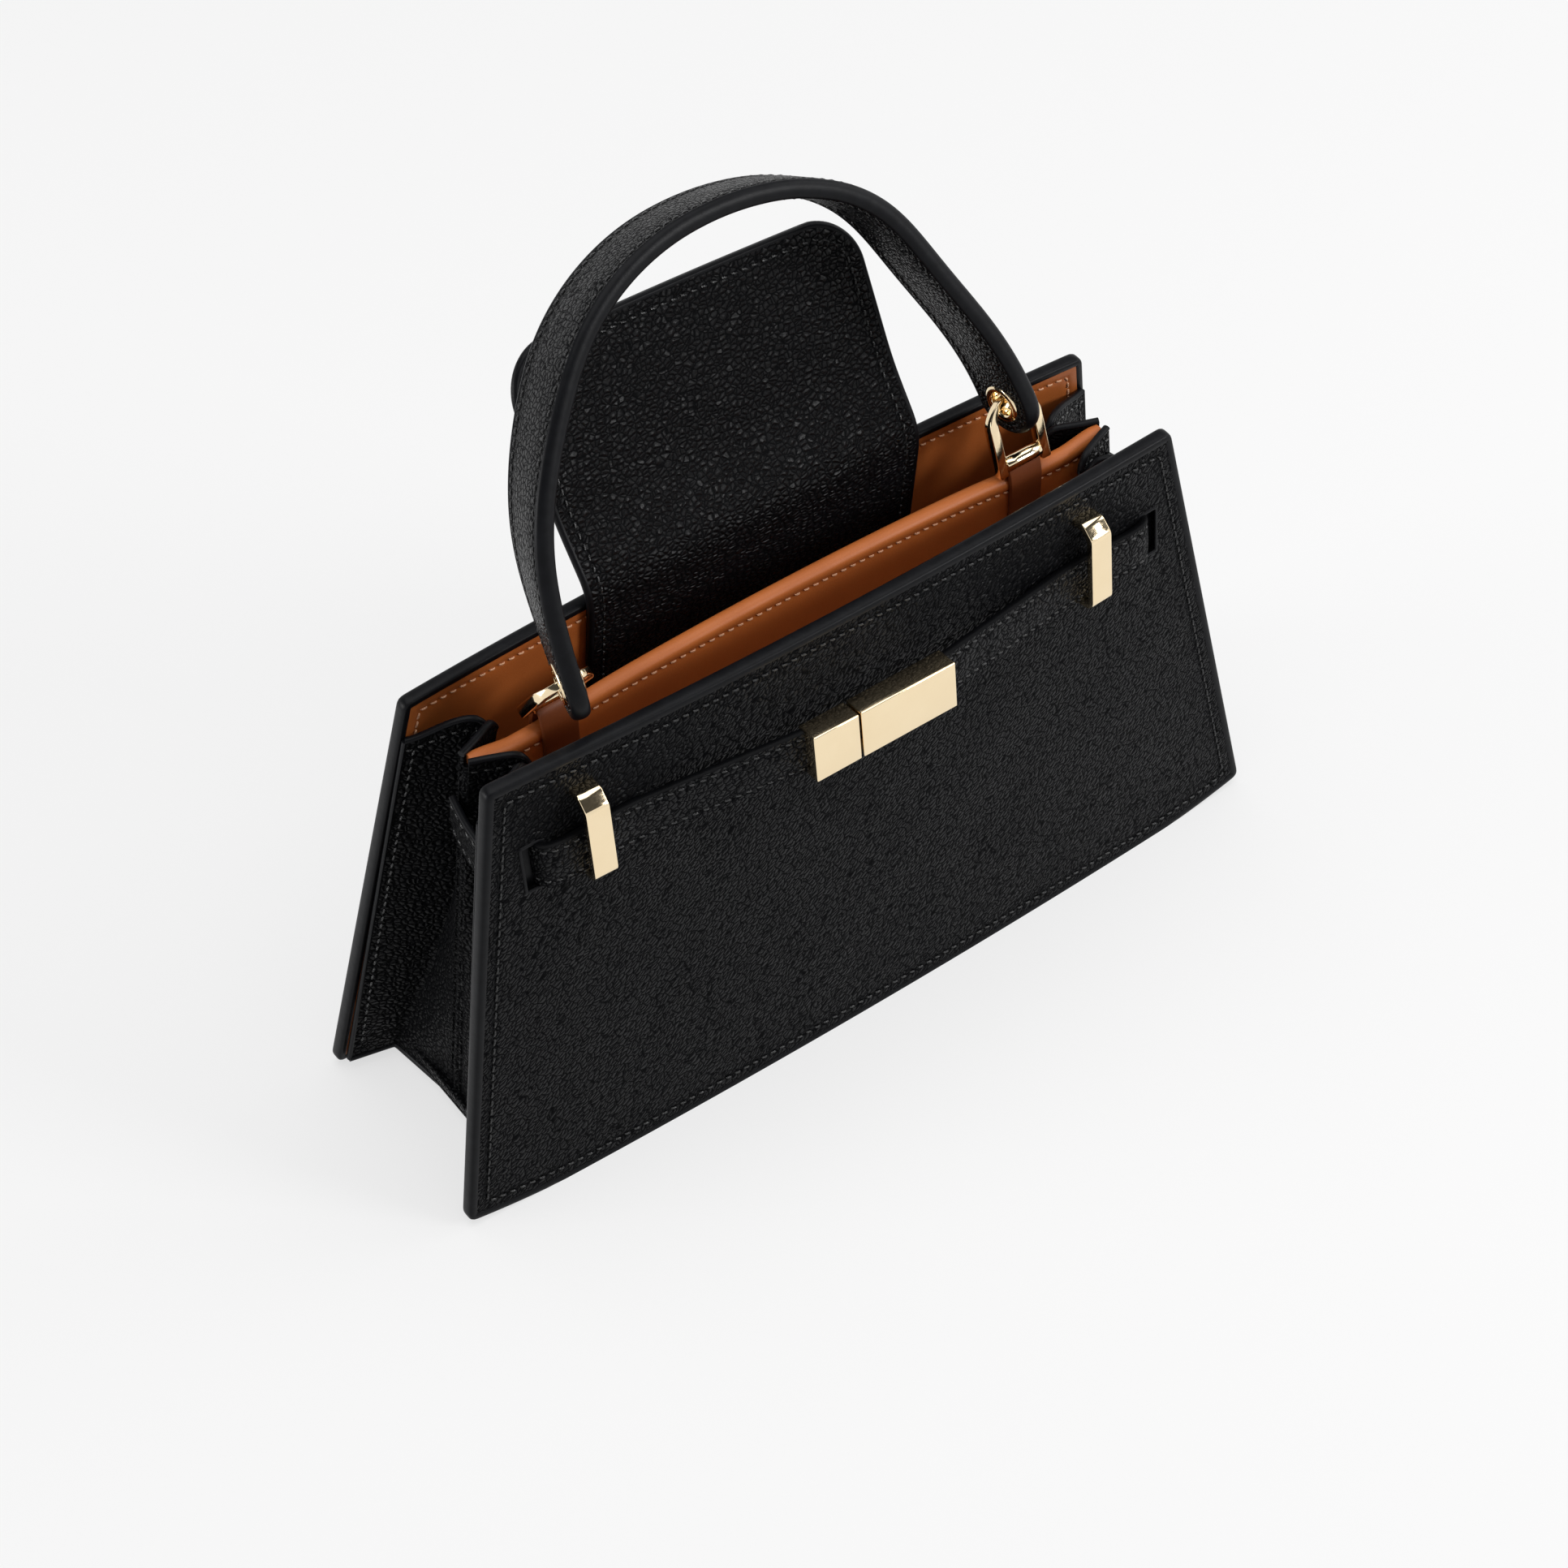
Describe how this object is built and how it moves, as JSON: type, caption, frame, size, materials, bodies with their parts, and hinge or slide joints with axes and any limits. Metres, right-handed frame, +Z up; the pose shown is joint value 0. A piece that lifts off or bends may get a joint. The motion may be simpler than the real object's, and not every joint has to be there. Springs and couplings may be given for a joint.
{
  "type": "top handle bag",
  "caption": "Stiff trapezoid top handle bag with a fold-over flap, a belt with a lift-off clasp, bellows gussets, a divider and an arched handle on shackles.",
  "frame": {"origin": "on the floor under the middle of the bag's overall length and depth, with the flap open", "axes": "+X along the bag, to the right as seen from the front; -Y towards the front panel; +Z up"},
  "size_m": [0.25, 0.0886, 0.2258],
  "materials": {
    "black_leather": "pebbled satin",
    "tan_leather": "smooth satin",
    "gold_metal": "polished",
    "board": "matte",
    "magnet_steel": "satin"
  },
  "bodies": {
    "bag": {"back_panel": "black_leather", "back_board": "board", "back_lining": "tan_leather", "front_lining": "tan_leather", "front_panel": "black_leather", "front_board": "board", "base_panel": "black_leather", "base_board": "board", "base_lining": "tan_leather", "divider_front": "tan_leather", "divider_board": "board", "divider_back": "tan_leather", "gusset_back_right": "black_leather", "gusset_front_right": "black_leather", "gusset_back_left": "black_leather", "gusset_front_left": "black_leather", "side_strap_right": "black_leather", "side_strap_left": "black_leather", "belt_left": "black_leather", "belt_right_tail": "black_leather", "clasp_left_block": "gold_metal", "clasp_tongue": "gold_metal", "clasp_left_magnet": "magnet_steel", "clasp_left_rivets": "gold_metal", "keeper_left": "gold_metal", "keeper_plate_left": "gold_metal", "keeper_right": "gold_metal", "keeper_plate_right": "gold_metal", "flap_root": "black_leather", "handle_tab_left": "tan_leather", "handle_tab_right": "tan_leather"},
    "flap_bridge": {"flap_bridge": "black_leather"},
    "flap_tip": {"flap_tip": "black_leather"},
    "shackles": {"shackle_left": "gold_metal", "shackle_bar_left": "gold_metal", "shackle_right": "gold_metal", "shackle_bar_right": "gold_metal"},
    "handle": {"handle_outer": "black_leather", "handle_core": "board", "handle_lining": "black_leather", "eyelet_left": "gold_metal", "eyelet_right": "gold_metal"},
    "clasp_lead": {"belt_right_lead": "black_leather", "clasp_right_block": "gold_metal", "clasp_right_magnet": "magnet_steel", "clasp_right_rivets": "gold_metal"}
  },
  "joints": [
    {"name": "flap_hinge", "type": "hinge", "parent": "bag", "child": "flap_bridge", "pos_m": [0, 0.01261, 0.1362], "axis": [1, 0, 0], "range_deg": [0, 118]},
    {"name": "flap_fold", "type": "hinge", "parent": "flap_bridge", "child": "flap_tip", "pos_m": [0, 0.03278, 0.17062], "axis": [1, 0, 0], "range_deg": [0, 77]},
    {"name": "handle_swing", "type": "hinge", "parent": "bag", "child": "shackles", "pos_m": [0, -0.0035, 0.13057], "axis": [1, 0, 0], "range_deg": [-3, 8]},
    {"name": "handle_tilt", "type": "hinge", "parent": "shackles", "child": "handle", "pos_m": [0, -0.00494, 0.14323], "axis": [0.9953, 0.0964, 0.011], "range_deg": [-2, 75]},
    {"name": "clasp_swing", "type": "hinge", "parent": "bag", "child": "clasp_lead", "pos_m": [0.06602, -0.02987, 0.10597], "axis": [0, 0.1092, 0.994], "range_deg": [0, 100]}
  ]
}
